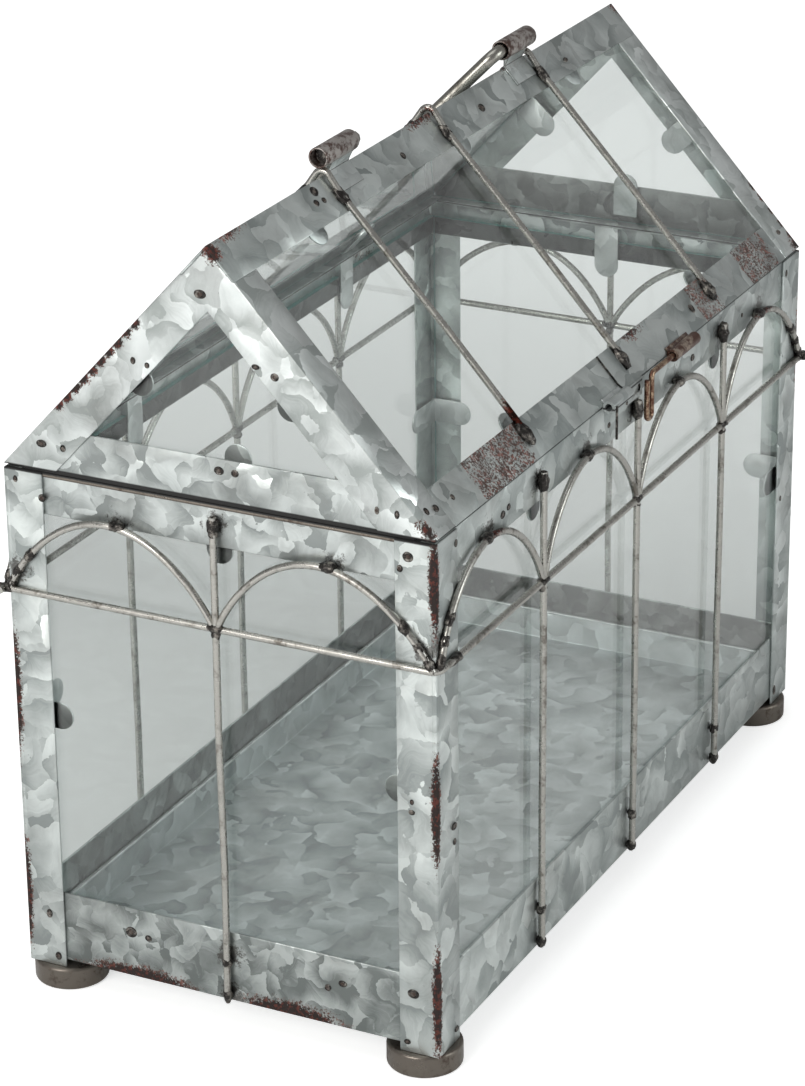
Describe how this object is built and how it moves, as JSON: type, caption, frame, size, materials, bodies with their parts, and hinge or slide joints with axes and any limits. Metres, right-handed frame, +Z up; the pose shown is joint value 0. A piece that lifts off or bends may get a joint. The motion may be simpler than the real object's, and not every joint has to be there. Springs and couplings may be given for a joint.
{
  "type": "tabletop glass terrarium",
  "caption": "Small glass house in galvanised steel with a hinged gable roof, wire tracery, a wire latch and a bail handle, for plants on a table.",
  "frame": {"origin": "centre of the footprint at the undersides of the feet", "axes": "+X along the ridge, -Y towards the latch, +Z up"},
  "size_m": [0.3118, 0.1622, 0.2804],
  "materials": {
    "galvanised_sheet": "large-spangle galvanised sheet with a little rust at the edges",
    "wire": "tinned wire with dark solder at the joints",
    "handle": "dull galvanised wire",
    "rusted_tube": "rusty steel tube and solder",
    "rusted_latch": "rusty steel",
    "clip": "galvanised sheet",
    "feet": "dull grey metal",
    "glass": "clear window glass"
  },
  "bodies": {
    "base": {"post_front_left": "galvanised_sheet", "post_front_right": "galvanised_sheet", "post_rear_left": "galvanised_sheet", "post_rear_right": "galvanised_sheet", "top_rail_front": "galvanised_sheet", "top_rail_rear": "galvanised_sheet", "top_rail_left": "galvanised_sheet", "top_rail_right": "galvanised_sheet", "bottom_rail_front": "galvanised_sheet", "bottom_rail_rear": "galvanised_sheet", "bottom_rail_left": "galvanised_sheet", "bottom_rail_right": "galvanised_sheet", "floor_tray": "galvanised_sheet", "pane_front": "glass", "pane_rear": "glass", "pane_left": "glass", "pane_right": "glass", "feet": "feet", "tracery_front": "wire", "tracery_rear": "wire", "tracery_left": "wire", "tracery_right": "wire", "wall_clips": "clip", "hinge_base": "galvanised_sheet"},
    "roof": {"ridge_cap": "galvanised_sheet", "rake_left": "galvanised_sheet", "rake_right": "galvanised_sheet", "eave_front": "galvanised_sheet", "eave_rear": "galvanised_sheet", "gable_rail_left": "galvanised_sheet", "gable_rail_right": "galvanised_sheet", "slope_pane_front": "glass", "slope_pane_rear": "glass", "gable_pane_left": "glass", "gable_pane_right": "glass", "rib_wire_left": "wire", "rib_wire_middle": "wire", "rib_wire_right": "wire", "roof_clips": "clip", "hasp_plate": "galvanised_sheet", "latch_barrels": "rusted_latch", "handle_tubes": "rusted_tube", "hinge_roof": "galvanised_sheet"},
    "handle": {"handle": "handle"},
    "latch": {"latch_loop": "rusted_latch"}
  },
  "joints": [
    {"name": "roof_hinge", "type": "hinge", "parent": "base", "child": "roof", "pos_m": [0, 0.0787, 0.1872], "axis": [-1, 0, 0], "range_deg": [0, 105]},
    {"name": "handle_swing", "type": "hinge", "parent": "roof", "child": "handle", "pos_m": [0, 0, 0.2769], "axis": [1, 0, 0], "range_deg": [0, 260]},
    {"name": "latch_swing", "type": "hinge", "parent": "roof", "child": "latch", "pos_m": [0.036, -0.0784, 0.1872], "axis": [-1, 0, 0], "range_deg": [0, 150]}
  ]
}
